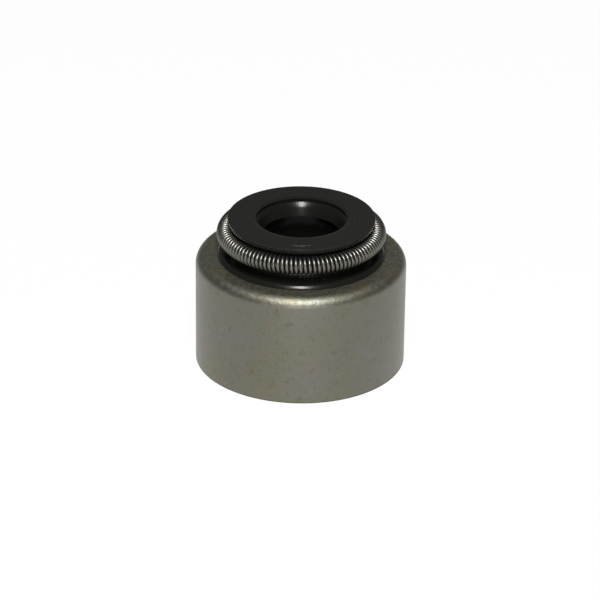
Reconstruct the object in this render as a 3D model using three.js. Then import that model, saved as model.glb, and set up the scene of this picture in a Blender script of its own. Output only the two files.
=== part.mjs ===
// Valve stem seal: a drawn steel case, a rubber seal body bonded into it, and a garter spring in the
// groove of the rubber neck. The case stands on its open end, its axis is Z and z = 0 is its cut edge.
// All sizes are in millimetres.
import * as THREE from "three";

// Steel case: a cup drawn from sheet, with a hole in its closed end for the rubber neck.
const caseRadius = 8.25;
const caseHeight = 8.9;
const sheetThickness = 0.7;
const insideBendRadius = 0.12;
const holeRadius = 5.95;
const cutEdgeBreak = 0.1;

// Film of bonding agent between steel and rubber.
const bondGap = 0.02;

// Rubber lining inside the case: the socket that grips the end of the valve guide.
const guideBoreRadius = 5.85;
const gripRibCount = 3;
const gripRibHeight = 0.2;
const gripRibCrest = 0.25;
const gripRibFoot = 0.75;
const gripRibPitch = 1.7;
const gripRibTopMargin = 0.9;
const liningRecess = 0.4;
const leadInWidth = 0.75;
const leadInHeight = 0.9;
const guideStopThickness = 0.8;
const stopCornerRadius = 0.25;

// Rubber bead that covers the rim of the case's hole.
const beadOverlap = 0.6;
const beadHeight = 0.35;
const beadEdgeRadius = 0.25;
const beadLanding = 0.02;

// Rubber neck: waist, spring groove and top flange.
const waistFilletRadius = 0.4;
const waistHeight = 0.72;
const waistInset = 0.1;
const grooveWrapDegrees = 130;
const grooveClearance = 0.03;
const flangeGap = 0.19;
const flangeThickness = 0.38;
const flangeOverhang = 0.625;

// Mouth and sealing lip. The lip's edge lies in the plane of the spring, which presses it on the stem.
const lipRadius = 2.95;
const lipShoulderRadius = 0.6;
const mouthStep = 0.2;
const mouthBevel = 0.19;
const mouthBevelHeight = 0.07;
const airSideDegrees = 38;
const reliefRadius = 4.1;

// Garter spring: a close-wound coil closed into a ring. Its last turns are wound smaller, and this
// nib is screwed into the first turns.
const wireDiameter = 0.28;
const coilDiameter = 1.46;
const springRingRadius = 5.89;
const turnClearance = 0.0115;
const nibTurns = 3;
const nibClearance = 0.03;
const nibTaperTurns = 1;
const jointDegrees = 90;

// Faces round the axis, along one turn of the coil and round the wire.
const roundFacets = 44;
const turnFacets = 7;
const wireFacets = 4;

// Faces along the arcs of the half-sections.
const bendFacets = 5;
const edgeFacets = 3;
const grooveFacets = 4;
const lipFacets = 4;
const hiddenFacets = 1;

// Heights, stacked up from the cut edge of the case.
const shoulderUnderside = caseHeight - sheetThickness;
const guideStop = shoulderUnderside - bondGap - guideStopThickness;
const beadTop = caseHeight + beadHeight;
const springHeight = beadTop + waistHeight + coilDiameter / 2;
const flangeUnderside = springHeight + coilDiameter / 2 + flangeGap;
const sealTop = flangeUnderside + flangeThickness;

const radians = THREE.MathUtils.degToRad;
const point = (radius, height) => new THREE.Vector2(radius, height);

// Points of an arc in the half-section, from one angle to another about its centre.
function arc(centre, radius, fromDegrees, toDegrees, steps) {
  const clockwise = toDegrees < fromDegrees;
  return new THREE.EllipseCurve(
    centre.x, centre.y, radius, radius, radians(fromDegrees), radians(toDegrees), clockwise,
  ).getPoints(steps);
}

// A solid of revolution about Z from a closed half-section, listed anticlockwise in radius and height.
function revolve(halfSection) {
  const closed = [...halfSection, halfSection[0].clone()];
  return new THREE.LatheGeometry(closed, roundFacets).rotateX(Math.PI / 2);
}

function piece(name, geometry, material) {
  const mesh = new THREE.Mesh(geometry, material);
  mesh.name = name;
  return mesh;
}

// Steel case: straight wall, drawn radius, flat shoulder and a pierced hole. The shoulder has a corner
// where the bead lands, so that the free ring outside the bead is a flat face of its own.
function steelCase() {
  const insideRadius = caseRadius - sheetThickness;
  const bendCentre = point(insideRadius - insideBendRadius, shoulderUnderside - insideBendRadius);
  const halfSection = [
    point(insideRadius, 0),
    point(caseRadius - cutEdgeBreak, 0),
    point(caseRadius, cutEdgeBreak),
    ...arc(bendCentre, insideBendRadius + sheetThickness, 0, 90, bendFacets),
    point(holeRadius + beadOverlap + beadLanding, caseHeight),
    point(holeRadius, caseHeight),
    point(holeRadius, shoulderUnderside),
    ...arc(bendCentre, insideBendRadius, 90, 0, hiddenFacets),
  ];
  const steel = new THREE.MeshStandardMaterial({ color: 0x8b8a7c, roughness: 0.48, metalness: 0.9 });
  return piece("steel_case", revolve(halfSection), steel);
}

// Bore for the valve guide, from its stop down to the lead-in, with ribs that grip the guide.
function guideBore() {
  const crestRadius = guideBoreRadius - gripRibHeight;
  const cornerCentre = point(guideBoreRadius - stopCornerRadius, guideStop - stopCornerRadius);
  const bore = arc(cornerCentre, stopCornerRadius, 90, 0, hiddenFacets);
  for (let rib = 0; rib < gripRibCount; rib++) {
    const middle = guideStop - gripRibTopMargin - gripRibFoot / 2 - rib * gripRibPitch;
    bore.push(
      point(guideBoreRadius, middle + gripRibFoot / 2),
      point(crestRadius, middle + gripRibCrest / 2),
      point(crestRadius, middle - gripRibCrest / 2),
      point(guideBoreRadius, middle - gripRibFoot / 2),
    );
  }
  bore.push(
    point(guideBoreRadius, liningRecess + leadInHeight),
    point(guideBoreRadius + leadInWidth, liningRecess),
  );
  return bore;
}

// Lining that fills the case, and the bead that folds over the rim of its hole.
function liningAndBead(waistRadius) {
  const liningRadius = caseRadius - sheetThickness - bondGap;
  const bendCentre = point(
    caseRadius - sheetThickness - insideBendRadius, shoulderUnderside - insideBendRadius,
  );
  const throatRadius = holeRadius - bondGap;
  const beadRadius = holeRadius + beadOverlap;
  const beadCentre = point(beadRadius - beadEdgeRadius, beadTop - beadEdgeRadius);
  const filletCentre = point(waistRadius + waistFilletRadius, beadTop + waistFilletRadius);
  return [
    point(liningRadius, liningRecess),
    ...arc(bendCentre, insideBendRadius - bondGap, 0, 90, hiddenFacets),
    point(throatRadius, shoulderUnderside - bondGap),
    point(throatRadius, caseHeight + bondGap),
    point(beadRadius, caseHeight + bondGap),
    ...arc(beadCentre, beadEdgeRadius, 0, 90, edgeFacets),
    ...arc(filletCentre, waistFilletRadius, 270, 180, edgeFacets),
  ];
}

// Groove that seats the spring, and the flange that keeps it from sliding off the neck.
function grooveAndFlange(grooveRadius, flangeRadius) {
  const halfWrap = grooveWrapDegrees / 2;
  const ringCentre = point(springRingRadius, springHeight);
  return [
    ...arc(ringCentre, grooveRadius, 180 + halfWrap, 180 - halfWrap, grooveFacets),
    point(flangeRadius, flangeUnderside),
    point(flangeRadius, sealTop),
  ];
}

// Mouth, lip shoulder, lip edge and the cone that opens on the air side, down to the guide's stop.
function mouthAndLip() {
  const shoulderOuter = lipRadius + lipShoulderRadius;
  const shoulderCentre = point(shoulderOuter, sealTop - mouthStep - lipShoulderRadius);
  const coneHeight = (reliefRadius - lipRadius) / Math.tan(radians(airSideDegrees));
  return [
    point(shoulderOuter + mouthBevel, sealTop),
    point(shoulderOuter, sealTop - mouthBevelHeight),
    ...arc(shoulderCentre, lipShoulderRadius, 90, 180, lipFacets),
    point(lipRadius, springHeight),
    point(reliefRadius, springHeight - coneHeight),
    point(reliefRadius, guideStop),
  ];
}

// Rubber seal body: lining, bead, neck and lip, moulded as one piece.
function sealBody() {
  const grooveRadius = coilDiameter / 2 + grooveClearance;
  const grooveEdgeRadius = springRingRadius - grooveRadius * Math.cos(radians(grooveWrapDegrees / 2));
  const waistRadius = springRingRadius - grooveRadius + waistInset;
  const flangeRadius = springRingRadius - grooveRadius + flangeOverhang;
  const halfSection = [
    ...liningAndBead(Math.min(waistRadius, grooveEdgeRadius)),
    ...grooveAndFlange(grooveRadius, flangeRadius),
    ...mouthAndLip(),
    ...guideBore(),
  ];
  const rubber = new THREE.MeshStandardMaterial({ color: 0x282825, roughness: 0.42, metalness: 0 });
  return piece("seal_body", revolve(halfSection), rubber);
}

// Centre line of the spring's wire: full turns round the ring, then the nib inside the first turns.
class GarterWire extends THREE.Curve {
  constructor() {
    super();
    this.turnRadius = (coilDiameter - wireDiameter) / 2;
    this.nibRadius = this.turnRadius - wireDiameter - nibClearance;
    const tightestRadius = springRingRadius - this.turnRadius;
    this.turnsRound = Math.floor((2 * Math.PI * tightestRadius) / (wireDiameter + turnClearance));
    this.turns = this.turnsRound + nibTurns;
  }

  // The turns shrink to the nib's size over the last of the turns that go round the ring.
  radiusAt(turn) {
    const taper = THREE.MathUtils.smoothstep(turn, this.turnsRound - nibTaperTurns, this.turnsRound);
    return THREE.MathUtils.lerp(this.turnRadius, this.nibRadius, taper);
  }

  // Direction from the middle of the coil to the wire.
  outward(t) {
    const turn = t * this.turns;
    const turnAngle = 2 * Math.PI * turn;
    const ringAngle = radians(jointDegrees) + (2 * Math.PI * turn) / this.turnsRound;
    return new THREE.Vector3(
      Math.cos(turnAngle) * Math.cos(ringAngle),
      Math.cos(turnAngle) * Math.sin(ringAngle),
      -Math.sin(turnAngle),
    );
  }

  getPoint(t, target = new THREE.Vector3()) {
    const turn = t * this.turns;
    const ringAngle = radians(jointDegrees) + (2 * Math.PI * turn) / this.turnsRound;
    target.set(springRingRadius * Math.cos(ringAngle), springRingRadius * Math.sin(ringAngle), springHeight);
    return target.addScaledVector(this.outward(t), this.radiusAt(turn));
  }

  // Points are spaced evenly by turn angle, so that every turn has its corners in the same places.
  getUtoTmapping(u) {
    return u;
  }

  // Frames that keep one corner of the wire's section pointing away from the middle of the coil.
  computeFrenetFrames(segments) {
    const frames = { tangents: [], normals: [], binormals: [] };
    for (let i = 0; i <= segments; i++) {
      const tangent = this.getTangent(i / segments);
      const binormal = new THREE.Vector3().crossVectors(tangent, this.outward(i / segments)).normalize();
      frames.tangents.push(tangent);
      frames.binormals.push(binormal);
      frames.normals.push(new THREE.Vector3().crossVectors(binormal, tangent));
    }
    return frames;
  }
}

// Garter spring: the round wire swept along its coiled centre line.
function garterSpring() {
  const wire = new GarterWire();
  const wireSection = new THREE.Shape(
    new THREE.EllipseCurve(0, 0, wireDiameter / 2, wireDiameter / 2).getPoints(wireFacets).slice(0, wireFacets),
  );
  const geometry = new THREE.ExtrudeGeometry(wireSection, {
    steps: wire.turns * turnFacets,
    extrudePath: wire,
  });
  const springSteel = new THREE.MeshStandardMaterial({ color: 0x9a958d, roughness: 0.25, metalness: 1 });
  return piece("garter_spring", geometry, springSteel);
}

const valveStemSeal = new THREE.Group();
valveStemSeal.add(steelCase(), sealBody(), garterSpring());

export default valveStemSeal;
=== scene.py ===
"""Valve stem seal: a drawn steel case, a rubber seal body bonded into it, and a garter spring in the
groove of the rubber neck. It stands on the open end of the case, on a pale studio floor.

Sizes of the seal are in millimetres and are turned into metres when a mesh is made.
"""

import math

import bpy
import numpy as np
from mathutils import Matrix, Vector


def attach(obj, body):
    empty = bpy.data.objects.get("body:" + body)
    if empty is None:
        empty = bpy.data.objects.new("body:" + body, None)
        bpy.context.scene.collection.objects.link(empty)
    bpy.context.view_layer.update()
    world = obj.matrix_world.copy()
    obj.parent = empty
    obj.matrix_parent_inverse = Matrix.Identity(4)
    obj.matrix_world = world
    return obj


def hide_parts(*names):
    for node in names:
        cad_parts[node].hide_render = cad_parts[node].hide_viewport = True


MM = 0.001

# Steel case, a cup drawn from sheet.
CASE_RADIUS = 8.25
CASE_HEIGHT = 8.9
SHEET_THICKNESS = 0.7
INSIDE_BEND_RADIUS = 0.12
HOLE_RADIUS = 5.95
CUT_EDGE_ROUNDING = 0.1
SHEARED_CORNER = 0.04

# Film of bonding agent between steel and rubber.
BOND_GAP = 0.02

# Rubber lining and the socket for the valve guide.
LINING_FOOT_ROUNDING = 0.06
GUIDE_BORE_RADIUS = 5.85
GRIP_RIB_COUNT = 3
GRIP_RIB_HEIGHT = 0.2
GRIP_RIB_CREST = 0.25
GRIP_RIB_FOOT = 0.75
GRIP_RIB_PITCH = 1.7
GRIP_RIB_TOP_MARGIN = 0.9
GRIP_RIB_CREST_ROUNDING = 0.08
GRIP_RIB_FOOT_ROUNDING = 0.12
LINING_RECESS = 0.4
LEAD_IN_WIDTH = 0.75
LEAD_IN_HEIGHT = 0.9
LEAD_IN_TOP_ROUNDING = 0.15
LEAD_IN_FOOT_ROUNDING = 0.12
GUIDE_STOP_THICKNESS = 0.8
STOP_CORNER_RADIUS = 0.25
STOP_EDGE_ROUNDING = 0.1

# Rubber bead over the rim of the case's hole.
BEAD_OVERLAP = 0.6
BEAD_HEIGHT = 0.35
BEAD_SLOPE = 0.21
BEAD_FOOT_ROUNDING = 0.16
BEAD_TOP_ROUNDING = 0.3

# Rubber neck: waist, spring groove and top flange. The trim line is a ridge left by the mould, steep on
# its outer side, and its slope is the width of its inner side.
WAIST_FILLET_RADIUS = 0.5
WAIST_HEIGHT = 0.72
WAIST_INSET = 0.1
GROOVE_WRAP_DEGREES = 130
GROOVE_CLEARANCE = 0.03
FLANGE_GAP = 0.19
FLANGE_THICKNESS = 0.38
FLANGE_OVERHANG = 0.625
FLANGE_DRAFT = 0.07
FLANGE_EDGE_ROUNDING = 0.012
TRIM_LINE_INSET = 0.63
TRIM_LINE_WIDTH = 0.007
TRIM_LINE_HEIGHT = 0.007
TRIM_LINE_SLOPE = 0.15

# Mouth and sealing lip. From the mouth's step the lip's shoulder bends down, from one tilt of its surface
# to a steeper one, and then runs straight to the lip's edge.
LIP_RADIUS = 2.95
LIP_SHOULDER_RADIUS = 1.1
LIP_SHOULDER_START_DEGREES = 52
LIP_SHOULDER_END_DEGREES = 26
MOUTH_RADIUS = 3.55
MOUTH_STEP = 0.33
MOUTH_BEVEL_WIDTH = 0.30
MOUTH_BEVEL_HEIGHT = 0.05
MOUTH_BEVEL_ROUNDING = 0.4
AIR_SIDE_DEGREES = 38
RELIEF_RADIUS = 4.1
RELIEF_CORNER_RADIUS = 0.3

# Garter spring.
WIRE_DIAMETER = 0.28
COIL_DIAMETER = 1.46
SPRING_RING_RADIUS = 5.89
TURN_CLEARANCE = 0.0115
NIB_TURNS = 3
NIB_CLEARANCE = 0.03
NIB_TAPER_TURNS = 1
JOINT_DEGREES = 90

# Heights, stacked up from the cut edge of the case.
SHOULDER_UNDERSIDE = CASE_HEIGHT - SHEET_THICKNESS
GUIDE_STOP = SHOULDER_UNDERSIDE - BOND_GAP - GUIDE_STOP_THICKNESS
BEAD_TOP = CASE_HEIGHT + BEAD_HEIGHT
SPRING_HEIGHT = BEAD_TOP + WAIST_HEIGHT + COIL_DIAMETER / 2
FLANGE_UNDERSIDE = SPRING_HEIGHT + COIL_DIAMETER / 2 + FLANGE_GAP
SEAL_TOP = FLANGE_UNDERSIDE + FLANGE_THICKNESS

# Fineness of the meshes. The holding distance sets a point beside a fine edge, so that a wide flat face
# next to it keeps its own shading.
HOLDING_DISTANCE = 0.02
ROUND_STEPS = 256
ARC_STEP_DEGREES = 7.5
STEPS_PER_TURN = 30
STEPS_ROUND_WIRE = 10
TURNED_SHARP_DEGREES = 35
WIRE_SHARP_DEGREES = 60

# Camera: the photograph's viewing angle, lens and slight roll.
CAMERA_AIM = Vector((-0.00004, 0.0, 0.00478))
CAMERA_ELEVATION = math.radians(26.85)
CAMERA_ROLL = math.radians(0.70)
CAMERA_DISTANCE = 0.25536
CAMERA_LENS = 194.4

# Studio, in metres, degrees and watts. Whiteness is what the camera sees of the floor, and the mirrored
# share is how much of that reflections show.
FLOOR_REACH = 4.0
FLOOR_WHITENESS = 0.94
FLOOR_MIRRORED = 0.85
FLOOR_PALE = (0.85, 0.85, 0.85)
# Painted shade: the floor's colour under the seal, dark grey where the case hides it.
FLOOR_PAINTED_SHADE_UNDER_SEAL = (0.22, 0.22, 0.22)
WORLD_GREY = (0.09, 0.09, 0.09)
MAIN_LIGHT = {"azimuth": 0, "elevation": 57, "distance": 0.30, "size": (0.06, 0.21), "power": 1.25}
REAR_PANEL = {"azimuth": 180, "elevation": 27, "distance": 0.5, "size": (0.9, 0.4), "power": 0.09}
FRONT_PANEL = {"azimuth": 0, "elevation": 8, "distance": 0.42, "size": (0.30, 0.10), "power": 0.40}

# Phosphated steel, with colours as linear red, green and blue.
WALL_OLIVE = (0.184, 0.179, 0.131)
WALL_GREY = (0.190, 0.188, 0.167)
WALL_PINK = (0.192, 0.168, 0.140)
WALL_GREEN = (0.168, 0.186, 0.142)
WALL_STAIN = (0.176, 0.146, 0.088)
WALL_MARK = (0.090, 0.082, 0.055)
WALL_ROUGHNESS = 0.42
SHOULDER_OLIVE = (0.190, 0.176, 0.122)
SHOULDER_PALE = (0.256, 0.260, 0.222)
SHOULDER_GOLD = (0.310, 0.250, 0.130)
SHOULDER_ROUGHNESS = 0.53
SHOULDER_FINISH_MARGIN = 0.14
# Painted shade in the hollows of the crystalline grain on the steel.
CRYSTAL_HOLLOW_PAINTED_SHADE = (0.110, 0.100, 0.070)
FLECK_BROWN = (0.090, 0.080, 0.050)

# Moulded rubber. The bloom is a slightly duller and paler skin.
RUBBER_BLACK = (0.0064, 0.0067, 0.0050)
RUBBER_BLOOM = (0.0074, 0.0074, 0.0058)
RUBBER_ROUGHNESS = 0.20
RUBBER_BLOOM_ROUGHNESS = 0.25
RUBBER_SPECULAR_LEVEL = 0.25
DUST_GREY = (0.160, 0.150, 0.120)

# Drawn spring wire.
WIRE_GREY = (0.162, 0.163, 0.147)
WIRE_WARM = (0.192, 0.172, 0.156)
WIRE_MARK = (0.070, 0.062, 0.050)
WIRE_ROUGHNESS = 0.36
WIRE_WARM_ROUGHNESS = 0.40


def arc(centre, radius, start, end):
    """Points of an arc in the half-section, as corners that stay as they are. Angles in degrees."""
    steps = max(2, round(abs(end - start) / ARC_STEP_DEGREES))
    points = []
    for i in range(steps + 1):
        angle = math.radians(start + (end - start) * i / steps)
        points.append((centre[0] + radius * math.cos(angle), centre[1] + radius * math.sin(angle), 0.0))
    return points


def round_corners(corners):
    """Turns a closed list of (radius, height, rounding) corners into points, with arcs at the roundings."""
    points = []
    count = len(corners)
    for i, (r, z, rounding) in enumerate(corners):
        here = Vector((r, z))
        if rounding <= 0.0:
            points.append(here)
            continue
        before = Vector(corners[i - 1][:2]) - here
        after = Vector(corners[(i + 1) % count][:2]) - here
        opening = before.angle(after)
        reach = rounding / math.tan(opening / 2)
        middle = (before.normalized() + after.normalized()).normalized()
        centre = here + middle * (rounding / math.sin(opening / 2))
        first = here + before.normalized() * reach - centre
        sweep = first.angle_signed(here + after.normalized() * reach - centre)
        steps = max(2, round(abs(math.degrees(sweep)) / ARC_STEP_DEGREES))
        for j in range(steps + 1):
            turned = Matrix.Rotation(-sweep * j / steps, 2) @ first
            points.append(centre + turned)
    return points


def mesh_piece(name, vertices, faces, material, sharp_degrees):
    """A smooth-shaded mesh object, with its edges sharp where the faces meet at more than an angle."""
    mesh = bpy.data.meshes.new(name)
    mesh.from_pydata([tuple(v) for v in vertices], [], [tuple(f) for f in faces])
    mesh.validate()
    mesh.materials.append(material)
    mesh.shade_smooth()
    mesh.set_sharp_from_angle(angle=math.radians(sharp_degrees))
    piece = bpy.data.objects.new(name, mesh)
    bpy.context.scene.collection.objects.link(piece)
    return piece


def turned_piece(name, corners, material):
    """A body turned about Z from a closed half-section, listed anticlockwise in radius and height."""
    section = np.array([tuple(p) for p in round_corners(corners)]) * MM
    angles = 2 * np.pi * np.arange(ROUND_STEPS) / ROUND_STEPS
    ring = np.stack([np.cos(angles), np.sin(angles)], axis=1)
    flat = section[None, :, :1] * ring[:, None, :]
    height = np.broadcast_to(section[None, :, 1:], (ROUND_STEPS, len(section), 1))
    vertices = np.concatenate([flat, height], axis=2).reshape(-1, 3)
    faces = []
    count = len(section)
    for i in range(ROUND_STEPS):
        here = i * count
        there = ((i + 1) % ROUND_STEPS) * count
        for j in range(count):
            k = (j + 1) % count
            faces.append((here + j, there + j, there + k, here + k))
    return mesh_piece(name, vertices, faces, material, TURNED_SHARP_DEGREES)


def case_section():
    """Corners of the case: cut edge, wall, drawn bend, shoulder and pierced hole."""
    inside_radius = CASE_RADIUS - SHEET_THICKNESS
    return [
        (inside_radius, 0.0, SHEARED_CORNER),
        (CASE_RADIUS, 0.0, CUT_EDGE_ROUNDING),
        (CASE_RADIUS, CASE_HEIGHT, INSIDE_BEND_RADIUS + SHEET_THICKNESS),
        (HOLE_RADIUS, CASE_HEIGHT, SHEARED_CORNER),
        (HOLE_RADIUS, SHOULDER_UNDERSIDE, SHEARED_CORNER),
        (inside_radius, SHOULDER_UNDERSIDE, INSIDE_BEND_RADIUS),
    ]


def seal_section():
    """Corners of the rubber body: lining, bead, waist, groove, flange, mouth, lip, stop and socket."""
    lining_radius = CASE_RADIUS - SHEET_THICKNESS - BOND_GAP
    throat_radius = HOLE_RADIUS - BOND_GAP
    bead_radius = HOLE_RADIUS + BEAD_OVERLAP
    groove_radius = COIL_DIAMETER / 2 + GROOVE_CLEARANCE
    groove_edge = SPRING_RING_RADIUS - groove_radius * math.cos(math.radians(GROOVE_WRAP_DEGREES / 2))
    waist_radius = min(SPRING_RING_RADIUS - groove_radius + WAIST_INSET, groove_edge)
    flange_radius = SPRING_RING_RADIUS - groove_radius + FLANGE_OVERHANG
    trim_radius = flange_radius - TRIM_LINE_INSET
    half_wrap = GROOVE_WRAP_DEGREES / 2
    outside = [
        (lining_radius, LINING_RECESS, LINING_FOOT_ROUNDING),
        (lining_radius, SHOULDER_UNDERSIDE - BOND_GAP, INSIDE_BEND_RADIUS - BOND_GAP),
        (throat_radius, SHOULDER_UNDERSIDE - BOND_GAP, 0.0),
        (throat_radius, CASE_HEIGHT + BOND_GAP, 0.0),
        (bead_radius, CASE_HEIGHT + BOND_GAP, 0.0),
        (bead_radius, BEAD_TOP - BEAD_SLOPE, BEAD_FOOT_ROUNDING),
        (bead_radius - BEAD_SLOPE, BEAD_TOP, BEAD_TOP_ROUNDING),
        (waist_radius, BEAD_TOP, WAIST_FILLET_RADIUS),
        (waist_radius, BEAD_TOP + WAIST_FILLET_RADIUS, 0.0),
    ]
    groove = arc((SPRING_RING_RADIUS, SPRING_HEIGHT), groove_radius, 180 + half_wrap, 180 - half_wrap)
    flange = [
        (flange_radius - FLANGE_DRAFT, FLANGE_UNDERSIDE, FLANGE_EDGE_ROUNDING),
        (flange_radius, SEAL_TOP, FLANGE_EDGE_ROUNDING),
        (flange_radius - 2 * HOLDING_DISTANCE - FLANGE_EDGE_ROUNDING, SEAL_TOP, 0.0),
        (trim_radius + TRIM_LINE_WIDTH + HOLDING_DISTANCE, SEAL_TOP, 0.0),
        (trim_radius + TRIM_LINE_WIDTH, SEAL_TOP, 0.0),
        (trim_radius, SEAL_TOP + TRIM_LINE_HEIGHT, 0.0),
        (trim_radius - TRIM_LINE_SLOPE, SEAL_TOP, 0.0),
        (trim_radius - TRIM_LINE_SLOPE - HOLDING_DISTANCE, SEAL_TOP, 0.0),
    ]
    start = math.radians(LIP_SHOULDER_START_DEGREES)
    lip_shoulder_centre = (
        MOUTH_RADIUS + LIP_SHOULDER_RADIUS * math.cos(start),
        SEAL_TOP - MOUTH_STEP - LIP_SHOULDER_RADIUS * math.sin(start),
    )
    lip_shoulder = arc(
        lip_shoulder_centre,
        LIP_SHOULDER_RADIUS,
        180 - LIP_SHOULDER_START_DEGREES,
        180 - LIP_SHOULDER_END_DEGREES,
    )
    cone_height = (RELIEF_RADIUS - LIP_RADIUS) / math.tan(math.radians(AIR_SIDE_DEGREES))
    mouth = [
        (MOUTH_RADIUS + MOUTH_BEVEL_WIDTH, SEAL_TOP, MOUTH_BEVEL_ROUNDING),
        (MOUTH_RADIUS, SEAL_TOP - MOUTH_BEVEL_HEIGHT, 0.0),
        *lip_shoulder,
        (LIP_RADIUS, SPRING_HEIGHT, 0.0),
        (RELIEF_RADIUS, SPRING_HEIGHT - cone_height, RELIEF_CORNER_RADIUS),
        (RELIEF_RADIUS, GUIDE_STOP, STOP_EDGE_ROUNDING),
        (GUIDE_BORE_RADIUS, GUIDE_STOP, STOP_CORNER_RADIUS),
    ]
    crest_radius = GUIDE_BORE_RADIUS - GRIP_RIB_HEIGHT
    socket = []
    for rib in range(GRIP_RIB_COUNT):
        middle = GUIDE_STOP - GRIP_RIB_TOP_MARGIN - GRIP_RIB_FOOT / 2 - rib * GRIP_RIB_PITCH
        socket += [
            (GUIDE_BORE_RADIUS, middle + GRIP_RIB_FOOT / 2, GRIP_RIB_FOOT_ROUNDING),
            (crest_radius, middle + GRIP_RIB_CREST / 2, GRIP_RIB_CREST_ROUNDING),
            (crest_radius, middle - GRIP_RIB_CREST / 2, GRIP_RIB_CREST_ROUNDING),
            (GUIDE_BORE_RADIUS, middle - GRIP_RIB_FOOT / 2, GRIP_RIB_FOOT_ROUNDING),
        ]
    lead_in = [
        (GUIDE_BORE_RADIUS, LINING_RECESS + LEAD_IN_HEIGHT, LEAD_IN_TOP_ROUNDING),
        (GUIDE_BORE_RADIUS + LEAD_IN_WIDTH, LINING_RECESS, LEAD_IN_FOOT_ROUNDING),
    ]
    return outside + groove + flange + mouth + socket + lead_in


def spring_wire(name, material):
    """The garter spring: one round wire wound round the ring, with its nib inside the first turns."""
    turn_radius = (COIL_DIAMETER - WIRE_DIAMETER) / 2
    nib_radius = turn_radius - WIRE_DIAMETER - NIB_CLEARANCE
    tightest = SPRING_RING_RADIUS - turn_radius
    turns_round = math.floor(2 * math.pi * tightest / (WIRE_DIAMETER + TURN_CLEARANCE))
    turns = turns_round + NIB_TURNS
    turn = np.linspace(0, turns, turns * STEPS_PER_TURN + 1)
    taper = np.clip((turn - (turns_round - NIB_TAPER_TURNS)) / NIB_TAPER_TURNS, 0, 1)
    taper = taper * taper * (3 - 2 * taper)
    radius = turn_radius + (nib_radius - turn_radius) * taper
    ring_angle = math.radians(JOINT_DEGREES) + 2 * np.pi * turn / turns_round
    turn_angle = 2 * np.pi * turn
    outward = np.stack([
        np.cos(turn_angle) * np.cos(ring_angle),
        np.cos(turn_angle) * np.sin(ring_angle),
        -np.sin(turn_angle),
    ], axis=1)
    ring_centre = np.stack([
        SPRING_RING_RADIUS * np.cos(ring_angle),
        SPRING_RING_RADIUS * np.sin(ring_angle),
        np.full_like(turn, SPRING_HEIGHT),
    ], axis=1)
    centre_line = ring_centre + outward * radius[:, None]
    tangent = np.gradient(centre_line, axis=0)
    tangent /= np.linalg.norm(tangent, axis=1)[:, None]
    across = np.cross(tangent, outward)
    across /= np.linalg.norm(across, axis=1)[:, None]
    away = np.cross(across, tangent)
    around = 2 * np.pi * np.arange(STEPS_ROUND_WIRE) / STEPS_ROUND_WIRE
    offset = (
        away[:, None, :] * np.cos(around)[None, :, None]
        + across[:, None, :] * np.sin(around)[None, :, None]
    )
    vertices = (centre_line[:, None, :] + offset * WIRE_DIAMETER / 2).reshape(-1, 3) * MM
    faces = []
    for i in range(len(turn) - 1):
        here = i * STEPS_ROUND_WIRE
        there = here + STEPS_ROUND_WIRE
        for j in range(STEPS_ROUND_WIRE):
            k = (j + 1) % STEPS_ROUND_WIRE
            faces.append((here + j, here + k, there + k, there + j))
    last = (len(turn) - 1) * STEPS_ROUND_WIRE
    faces.append(tuple(range(STEPS_ROUND_WIRE - 1, -1, -1)))
    faces.append(tuple(range(last, last + STEPS_ROUND_WIRE)))
    return mesh_piece(name, vertices, faces, material, WIRE_SHARP_DEGREES)


def node(tree, kind, **settings):
    """Adds a node and sets its properties and input values, the latter by socket name or number."""
    made = tree.nodes.new(kind)
    for key, value in settings.items():
        if key == "inputs":
            for socket, content in value.items():
                made.inputs[socket].default_value = content
        else:
            setattr(made, key, value)
    return made


def effect_group(name, inputs, outputs):
    """An empty shader node group with named float inputs (name: start value) and outputs (name: type)."""
    group = bpy.data.node_groups.new(name, "ShaderNodeTree")
    for label, start in inputs.items():
        socket = group.interface.new_socket(label, in_out="INPUT", socket_type="NodeSocketFloat")
        socket.default_value = start
    for label, kind in outputs.items():
        group.interface.new_socket(label, in_out="OUTPUT", socket_type=kind)
    return group, group.nodes.new("NodeGroupInput"), group.nodes.new("NodeGroupOutput")


def millimetres(tree, upright=None):
    """Object coordinates in millimetres, with the height multiplied by a socket's value if one is given."""
    place = node(tree, "ShaderNodeTexCoord")
    scaled = node(tree, "ShaderNodeVectorMath", operation="SCALE", inputs={"Scale": 1.0 / MM})
    tree.links.new(place.outputs["Object"], scaled.inputs[0])
    if upright is None:
        return scaled.outputs["Vector"]
    parts = node(tree, "ShaderNodeSeparateXYZ")
    height = node(tree, "ShaderNodeMath", operation="MULTIPLY")
    joined = node(tree, "ShaderNodeCombineXYZ")
    tree.links.new(scaled.outputs["Vector"], parts.inputs["Vector"])
    tree.links.new(parts.outputs["X"], joined.inputs["X"])
    tree.links.new(parts.outputs["Y"], joined.inputs["Y"])
    tree.links.new(parts.outputs["Z"], height.inputs[0])
    tree.links.new(upright, height.inputs[1])
    tree.links.new(height.outputs[0], joined.inputs["Z"])
    return joined.outputs["Vector"]


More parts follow.
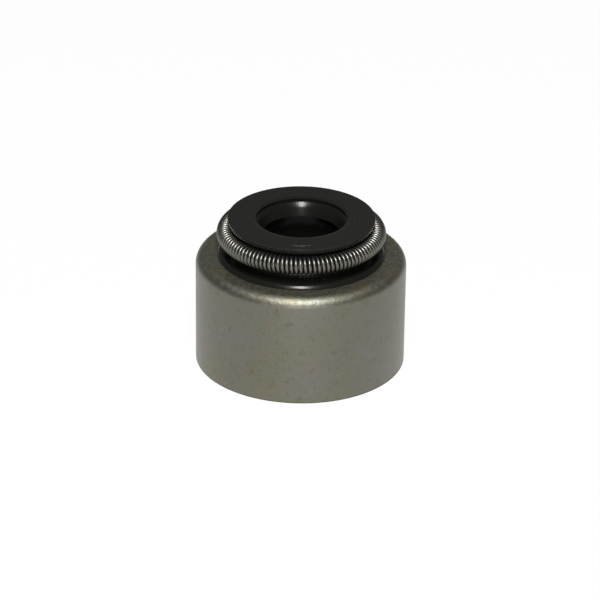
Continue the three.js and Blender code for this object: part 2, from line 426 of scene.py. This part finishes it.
def make_mottling():
    """Soft cloudy blotches, drawn out along the height where its factor is below 1: a mask from 0 to 1."""
    group, entry, out = effect_group(
        "soft_mottling",
        {"Blotches per mm": 0.5, "Height factor": 1.0, "Contrast": 2.0, "Balance": 0.5},
        {"Mask": "NodeSocketFloat"},
    )
    where = millimetres(group, entry.outputs["Height factor"])
    cloud = node(group, "ShaderNodeTexNoise", inputs={"Detail": 4.0, "Roughness": 0.55})
    centred = node(group, "ShaderNodeMath", operation="SUBTRACT", inputs={1: 0.5})
    spread = node(group, "ShaderNodeMath", operation="MULTIPLY_ADD", use_clamp=True)
    group.links.new(where, cloud.inputs["Vector"])
    group.links.new(entry.outputs["Blotches per mm"], cloud.inputs["Scale"])
    group.links.new(cloud.outputs["Fac"], centred.inputs[0])
    group.links.new(centred.outputs[0], spread.inputs[0])
    group.links.new(entry.outputs["Contrast"], spread.inputs[1])
    group.links.new(entry.outputs["Balance"], spread.inputs[2])
    group.links.new(spread.outputs[0], out.inputs["Mask"])
    return group


def make_grain():
    """Fine crystalline grain: heights for a bump, and a mask that is 1 in the grain's deepest places."""
    group, entry, out = effect_group(
        "fine_grain",
        {"Grains per mm": 9.0},
        {"Height": "NodeSocketFloat", "Deep": "NodeSocketFloat"},
    )
    where = millimetres(group)
    rough = node(group, "ShaderNodeTexNoise", inputs={"Detail": 3.0, "Roughness": 0.7})
    crystals = node(group, "ShaderNodeTexVoronoi", feature="F1")
    relief = node(group, "ShaderNodeMath", operation="ADD")
    deep = node(group, "ShaderNodeMapRange", inputs={"From Min": 0.50, "From Max": 0.36})
    group.links.new(where, rough.inputs["Vector"])
    group.links.new(where, crystals.inputs["Vector"])
    group.links.new(entry.outputs["Grains per mm"], rough.inputs["Scale"])
    group.links.new(entry.outputs["Grains per mm"], crystals.inputs["Scale"])
    group.links.new(rough.outputs["Fac"], relief.inputs[0])
    group.links.new(crystals.outputs["Distance"], relief.inputs[1])
    group.links.new(relief.outputs[0], out.inputs["Height"])
    group.links.new(rough.outputs["Fac"], deep.inputs["Value"])
    group.links.new(deep.outputs["Result"], out.inputs["Deep"])
    return group


def make_specks():
    """Scattered specks of dust or dirt: a mask that is 1 in the middles of a share of the cells."""
    group, entry, out = effect_group(
        "scattered_specks",
        {"Cells per mm": 2.0, "Speck size": 0.07, "Share of cells": 0.15},
        {"Mask": "NodeSocketFloat"},
    )
    where = millimetres(group)
    cells = node(group, "ShaderNodeTexVoronoi", feature="F1")
    small = node(group, "ShaderNodeMath", operation="LESS_THAN")
    tone = node(group, "ShaderNodeSeparateColor")
    chosen = node(group, "ShaderNodeMath", operation="LESS_THAN")
    both = node(group, "ShaderNodeMath", operation="MULTIPLY")
    group.links.new(where, cells.inputs["Vector"])
    group.links.new(entry.outputs["Cells per mm"], cells.inputs["Scale"])
    group.links.new(cells.outputs["Distance"], small.inputs[0])
    group.links.new(entry.outputs["Speck size"], small.inputs[1])
    group.links.new(cells.outputs["Color"], tone.inputs["Color"])
    group.links.new(tone.outputs["Red"], chosen.inputs[0])
    group.links.new(entry.outputs["Share of cells"], chosen.inputs[1])
    group.links.new(small.outputs[0], both.inputs[0])
    group.links.new(chosen.outputs[0], both.inputs[1])
    group.links.new(both.outputs[0], out.inputs["Mask"])
    return group


def make_hairlines():
    """Short broken hairlines, such as handling marks: a mask that is 1 on the lines."""
    group, entry, out = effect_group(
        "broken_hairlines",
        {"Lines per mm": 1.2, "Line width": 0.012, "Share of surface": 0.42},
        {"Mask": "NodeSocketFloat"},
    )
    where = millimetres(group)
    course = node(group, "ShaderNodeTexNoise", inputs={"Detail": 1.0, "Roughness": 0.5})
    breaks = node(group, "ShaderNodeTexNoise", inputs={"Scale": 1.7, "Detail": 0.0})
    line = node(group, "ShaderNodeMath", operation="COMPARE", inputs={1: 0.5})
    kept = node(group, "ShaderNodeMath", operation="LESS_THAN")
    both = node(group, "ShaderNodeMath", operation="MULTIPLY")
    group.links.new(where, course.inputs["Vector"])
    group.links.new(where, breaks.inputs["Vector"])
    group.links.new(entry.outputs["Lines per mm"], course.inputs["Scale"])
    group.links.new(course.outputs["Fac"], line.inputs[0])
    group.links.new(entry.outputs["Line width"], line.inputs[2])
    group.links.new(breaks.outputs["Fac"], kept.inputs[0])
    group.links.new(entry.outputs["Share of surface"], kept.inputs[1])
    group.links.new(line.outputs[0], both.inputs[0])
    group.links.new(kept.outputs[0], both.inputs[1])
    group.links.new(both.outputs[0], out.inputs["Mask"])
    return group


def placed_group(tree, group, **values):
    """One copy of a node group in a material, with its own values. An underscore stands for a space."""
    placed = tree.nodes.new("ShaderNodeGroup")
    placed.node_tree = group
    for label, value in values.items():
        placed.inputs[label.replace("_", " ")].default_value = value
    return placed


def blend(tree, share, first, second):
    """Mixes two colours, each a colour value or an output socket, by a share that is a socket."""
    mix = node(tree, "ShaderNodeMix", data_type="RGBA")
    tree.links.new(share, mix.inputs["Factor"])
    for socket, content in ((mix.inputs["A"], first), (mix.inputs["B"], second)):
        if isinstance(content, bpy.types.NodeSocket):
            tree.links.new(content, socket)
        else:
            socket.default_value = (*content, 1.0)
    return mix.outputs["Result"]


def between(tree, mask, low, high):
    """Turns a mask from 0 to 1 into a value from low to high."""
    mapped = node(tree, "ShaderNodeMapRange", inputs={"To Min": low, "To Max": high})
    tree.links.new(mask, mapped.inputs["Value"])
    return mapped.outputs["Result"]


def laid_over(tree, mask, share, below, above):
    """Lays a colour over another one, by a share where the mask is 1."""
    return blend(tree, between(tree, mask.outputs["Mask"], 0.0, share), below, above)


def new_material(name):
    """An empty material with its tree and its shader."""
    material = bpy.data.materials.new(name)
    material.use_nodes = True
    tree = material.node_tree
    return material, tree, tree.nodes["Principled BSDF"]


def bump_from(tree, shader, height, strength, distance):
    """Puts a fine relief on a shader."""
    bump = node(tree, "ShaderNodeBump", inputs={"Strength": strength, "Distance": distance * MM})
    tree.links.new(height, bump.inputs["Height"])
    tree.links.new(bump.outputs["Normal"], shader.inputs["Normal"])


def shoulder_mask(tree):
    """A mask that is 1 on the case's shoulder and upper bend, and 0 on its drawn wall."""
    place = node(tree, "ShaderNodeTexCoord")
    parts = node(tree, "ShaderNodeSeparateXYZ")
    bend_start = (CASE_HEIGHT - SHEET_THICKNESS - INSIDE_BEND_RADIUS) * MM
    bend_end = (CASE_HEIGHT - SHOULDER_FINISH_MARGIN) * MM
    rise = node(tree, "ShaderNodeMapRange", inputs={"From Min": bend_start, "From Max": bend_end})
    tree.links.new(place.outputs["Object"], parts.inputs["Vector"])
    tree.links.new(parts.outputs["Z"], rise.inputs["Value"])
    return rise.outputs["Result"]


def phosphated_steel(mottling, grain, specks, hairlines):
    """Dull phosphated sheet: olive and crystalline on the shoulder, greyer and smoother on the drawn wall.

    The wall has soft clouds, pink, green and brown patches and dark hairlines, and the shoulder a pale
    mosaic with gold patches. Over both lie crystals with painted shade in their hollows, and a few dark
    flecks.
    """
    material, tree, shader = new_material("phosphated_steel")
    on_shoulder = shoulder_mask(tree)
    clouds = placed_group(tree, mottling, Blotches_per_mm=0.22, Height_factor=0.8, Contrast=3.2)
    pink = placed_group(tree, mottling, Blotches_per_mm=0.9, Height_factor=0.8, Contrast=4.0, Balance=0.25)
    green = placed_group(tree, mottling, Blotches_per_mm=1.25, Height_factor=0.7, Contrast=4.0, Balance=0.2)
    stains = placed_group(tree, mottling, Blotches_per_mm=1.3, Height_factor=0.7, Contrast=6.0, Balance=-0.4)
    mosaic = placed_group(tree, mottling, Blotches_per_mm=2.6, Contrast=4.5)
    gold = placed_group(tree, mottling, Blotches_per_mm=0.45, Contrast=5.0, Balance=0.0)
    crystals = placed_group(tree, grain, Grains_per_mm=6.0)
    flecks = placed_group(tree, specks, Cells_per_mm=1.9, Speck_size=0.12, Share_of_cells=0.13)
    marks = placed_group(tree, hairlines, Lines_per_mm=1.1, Line_width=0.009, Share_of_surface=0.5)
    wall = blend(tree, clouds.outputs["Mask"], WALL_OLIVE, WALL_GREY)
    wall = laid_over(tree, pink, 0.6, wall, WALL_PINK)
    wall = laid_over(tree, green, 0.6, wall, WALL_GREEN)
    wall = laid_over(tree, stains, 0.55, wall, WALL_STAIN)
    wall = laid_over(tree, marks, 0.32, wall, WALL_MARK)
    shoulder = blend(tree, mosaic.outputs["Mask"], SHOULDER_OLIVE, SHOULDER_PALE)
    shoulder = laid_over(tree, gold, 0.5, shoulder, SHOULDER_GOLD)
    colour = blend(tree, on_shoulder, wall, shoulder)
    # Painted shade: the colour darkens where the grain's relief is lowest.
    colour = blend(tree, between(tree, crystals.outputs["Deep"], 0.0, 0.2), colour, CRYSTAL_HOLLOW_PAINTED_SHADE)
    colour = laid_over(tree, flecks, 0.35, colour, FLECK_BROWN)
    roughness = between(tree, on_shoulder, WALL_ROUGHNESS, SHOULDER_ROUGHNESS)
    tree.links.new(colour, shader.inputs["Base Color"])
    tree.links.new(roughness, shader.inputs["Roughness"])
    shader.inputs["Metallic"].default_value = 1.0
    bump_from(tree, shader, crystals.outputs["Height"], 0.6, 0.016)
    return material


def moulded_rubber(mottling, grain, specks):
    """Black moulded rubber, smooth and half gloss, a little olive, with a few grains of dust."""
    material, tree, shader = new_material("moulded_rubber")
    bloom = placed_group(tree, mottling, Blotches_per_mm=0.25, Contrast=1.2)
    skin = placed_group(tree, grain, Grains_per_mm=9.0)
    dust = placed_group(tree, specks, Cells_per_mm=1.7, Speck_size=0.065, Share_of_cells=0.16)
    colour = blend(tree, bloom.outputs["Mask"], RUBBER_BLACK, RUBBER_BLOOM)
    colour = laid_over(tree, dust, 0.7, colour, DUST_GREY)
    roughness = between(tree, bloom.outputs["Mask"], RUBBER_ROUGHNESS, RUBBER_BLOOM_ROUGHNESS)
    tree.links.new(colour, shader.inputs["Base Color"])
    tree.links.new(roughness, shader.inputs["Roughness"])
    shader.inputs["Specular IOR Level"].default_value = RUBBER_SPECULAR_LEVEL
    bump_from(tree, shader, skin.outputs["Height"], 0.12, 0.004)
    return material


def drawn_wire(mottling, grain):
    """Dark drawn spring wire, a little warm in places, with fine drawing marks."""
    material, tree, shader = new_material("drawn_wire")
    tint = placed_group(tree, mottling, Blotches_per_mm=0.9, Contrast=4.0, Balance=0.1)
    marks = placed_group(tree, grain, Grains_per_mm=12.0)
    colour = blend(tree, tint.outputs["Mask"], WIRE_GREY, WIRE_WARM)
    colour = blend(tree, between(tree, marks.outputs["Deep"], 0.0, 0.3), colour, WIRE_MARK)
    roughness = between(tree, tint.outputs["Mask"], WIRE_ROUGHNESS, WIRE_WARM_ROUGHNESS)
    tree.links.new(colour, shader.inputs["Base Color"])
    tree.links.new(roughness, shader.inputs["Roughness"])
    shader.inputs["Metallic"].default_value = 1.0
    return material


def pale_floor():
    """White floor: camera, glossy and transmitted rays see it nearly white, with the seal's soft shadow.

    Under the seal it is painted dark grey, a painted shade where the case hides it, so that no light comes
    up through the socket.
    """
    material, tree, shader = new_material("pale_floor")
    shader.inputs["Roughness"].default_value = 0.9
    shader.inputs["Specular IOR Level"].default_value = 0.0
    paths = node(tree, "ShaderNodeLightPath")
    mirrored = node(tree, "ShaderNodeMath", operation="MULTIPLY", inputs={1: FLOOR_MIRRORED})
    seen = node(tree, "ShaderNodeMath", operation="MAXIMUM")
    shown = node(tree, "ShaderNodeMath", operation="MAXIMUM")
    place = node(tree, "ShaderNodeTexCoord")
    reach = node(tree, "ShaderNodeVectorMath", operation="LENGTH")
    outside = node(tree, "ShaderNodeMath", operation="GREATER_THAN", inputs={1: CASE_RADIUS * MM})
    share = node(tree, "ShaderNodeMath", operation="MULTIPLY", inputs={1: FLOOR_WHITENESS})
    masked = node(tree, "ShaderNodeMath", operation="MULTIPLY")
    white = node(tree, "ShaderNodeEmission", inputs={"Strength": 1.0})
    mixed = node(tree, "ShaderNodeMixShader")
    tree.links.new(paths.outputs["Is Camera Ray"], seen.inputs[0])
    tree.links.new(paths.outputs["Is Glossy Ray"], mirrored.inputs[0])
    tree.links.new(mirrored.outputs[0], seen.inputs[1])
    tree.links.new(seen.outputs[0], shown.inputs[0])
    tree.links.new(paths.outputs["Is Transmission Ray"], shown.inputs[1])
    tree.links.new(shown.outputs[0], share.inputs[0])
    tree.links.new(place.outputs["Object"], reach.inputs[0])
    tree.links.new(reach.outputs["Value"], outside.inputs[0])
    tree.links.new(share.outputs[0], masked.inputs[0])
    tree.links.new(outside.outputs[0], masked.inputs[1])
    tree.links.new(masked.outputs[0], mixed.inputs[0])
    # Painted shade under the seal: the floor there is dark grey instead of pale.
    colour = blend(tree, outside.outputs[0], FLOOR_PAINTED_SHADE_UNDER_SEAL, FLOOR_PALE)
    tree.links.new(colour, shader.inputs["Base Color"])
    tree.links.new(shader.outputs["BSDF"], mixed.inputs[1])
    tree.links.new(white.outputs["Emission"], mixed.inputs[2])
    tree.links.new(mixed.outputs[0], tree.nodes["Material Output"].inputs["Surface"])
    return material


def direction(azimuth, elevation):
    """Unit vector from the seal outwards. Azimuth 0 is the camera's side, -Y, and 90 is +X."""
    a, e = math.radians(azimuth), math.radians(elevation)
    return Vector((math.sin(a) * math.cos(e), -math.cos(a) * math.cos(e), math.sin(e)))


def soft_light(name, shape, azimuth, elevation, distance, size, power):
    """An area light aimed at the seal, of a width and a height."""
    lamp = bpy.data.lights.new(name, "AREA")
    lamp.shape = shape
    lamp.size, lamp.size_y = size
    lamp.energy = power
    light = bpy.data.objects.new(name, lamp)
    light.location = CAMERA_AIM + direction(azimuth, elevation) * distance
    light.rotation_euler = (-direction(azimuth, elevation)).to_track_quat("-Z", "Y").to_euler()
    bpy.context.scene.collection.objects.link(light)


def make_camera():
    """The camera stands where the photograph's camera stood, with its small roll."""
    data = bpy.data.cameras.new("camera")
    data.sensor_width = 36.0
    data.lens = CAMERA_LENS
    data.clip_start = 0.01
    data.clip_end = 20.0
    camera = bpy.data.objects.new("camera", data)
    outward = direction(0, math.degrees(CAMERA_ELEVATION))
    aimed = (-outward).to_track_quat("-Z", "Y").to_matrix()
    turned = aimed @ Matrix.Rotation(CAMERA_ROLL, 3, "Z")
    camera.matrix_world = Matrix.Translation(CAMERA_AIM + outward * CAMERA_DISTANCE) @ turned.to_4x4()
    bpy.context.scene.collection.objects.link(camera)
    bpy.context.scene.camera = camera


def make_floor():
    """A wide square floor, which isn't part of the seal."""
    mesh = bpy.data.meshes.new("floor")
    corners = [(-1, -1), (1, -1), (1, 1), (-1, 1)]
    mesh.from_pydata([(x * FLOOR_REACH, y * FLOOR_REACH, 0.0) for x, y in corners], [], [(0, 1, 2, 3)])
    mesh.materials.append(pale_floor())
    floor = bpy.data.objects.new("floor", mesh)
    bpy.context.scene.collection.objects.link(floor)


def make_world():
    """Dim even grey all round."""
    world = bpy.data.worlds.new("studio")
    world.use_nodes = True
    background = world.node_tree.nodes["Background"]
    background.inputs["Color"].default_value = (*WORLD_GREY, 1.0)
    background.inputs["Strength"].default_value = 1.0
    bpy.context.scene.world = world


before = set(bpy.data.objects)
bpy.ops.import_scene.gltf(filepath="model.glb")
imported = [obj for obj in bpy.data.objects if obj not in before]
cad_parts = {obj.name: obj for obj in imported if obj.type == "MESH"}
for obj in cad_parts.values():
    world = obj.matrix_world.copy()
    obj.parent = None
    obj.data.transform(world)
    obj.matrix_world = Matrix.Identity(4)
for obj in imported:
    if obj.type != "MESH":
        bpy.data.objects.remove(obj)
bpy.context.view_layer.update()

bpy.context.scene.view_settings.view_transform = "Standard"
make_camera()
make_world()
make_floor()
soft_light("main_light", "ELLIPSE", **MAIN_LIGHT)
soft_light("front_panel", "RECTANGLE", **FRONT_PANEL)
soft_light("rear_panel", "RECTANGLE", **REAR_PANEL)

mottling = make_mottling()
grain = make_grain()
specks = make_specks()
hairlines = make_hairlines()

case = turned_piece("case_drawn", case_section(), phosphated_steel(mottling, grain, specks, hairlines))
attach(case, "root")
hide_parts("steel_case")

seal = turned_piece("seal_moulding", seal_section(), moulded_rubber(mottling, grain, specks))
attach(seal, "root")
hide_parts("seal_body")

spring = spring_wire("garter_wire", drawn_wire(mottling, grain))
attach(spring, "root")
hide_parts("garter_spring")
